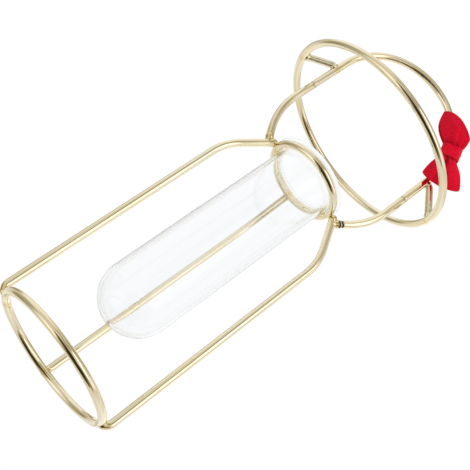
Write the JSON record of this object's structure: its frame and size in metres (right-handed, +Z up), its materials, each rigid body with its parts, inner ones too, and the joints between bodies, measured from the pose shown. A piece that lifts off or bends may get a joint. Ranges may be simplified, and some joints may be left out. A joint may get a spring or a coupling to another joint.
{
  "type": "bud vase",
  "caption": "Clear test tube vase hung in a bent gold wire stand like a figure, with a tilted ring as hat brim round the head loop and a red ribbon bow.",
  "frame": {"origin": "middle of the base ring, on the surface that the vase stands on", "axes": "+Z up along the tube's axis, -Y to the front that the brim dips to, +X to the side with the bow"},
  "size_m": [0.0904, 0.09, 0.2094],
  "materials": {
    "gold_wire": "polished pale gold plate on round wire",
    "tube_glass": "clear, smooth",
    "red_ribbon": "ribbed grosgrain"
  },
  "bodies": {
    "frame": {"base_ring": "gold_wire", "upright_left": "gold_wire", "upright_right": "gold_wire", "upright_back": "gold_wire", "neck_ring": "gold_wire", "head_loop": "gold_wire", "brim_ring": "gold_wire", "brim_strut_left": "gold_wire", "brim_strut_right": "gold_wire", "bow_ribbon": "red_ribbon", "bow_band": "red_ribbon"},
    "tube": {"glass_tube": "tube_glass"}
  },
  "joints": [
    {"name": "tube_lift", "type": "slide", "parent": "frame", "child": "tube", "axis": [0, 0, 1], "range_m": [0, 0.064]}
  ]
}
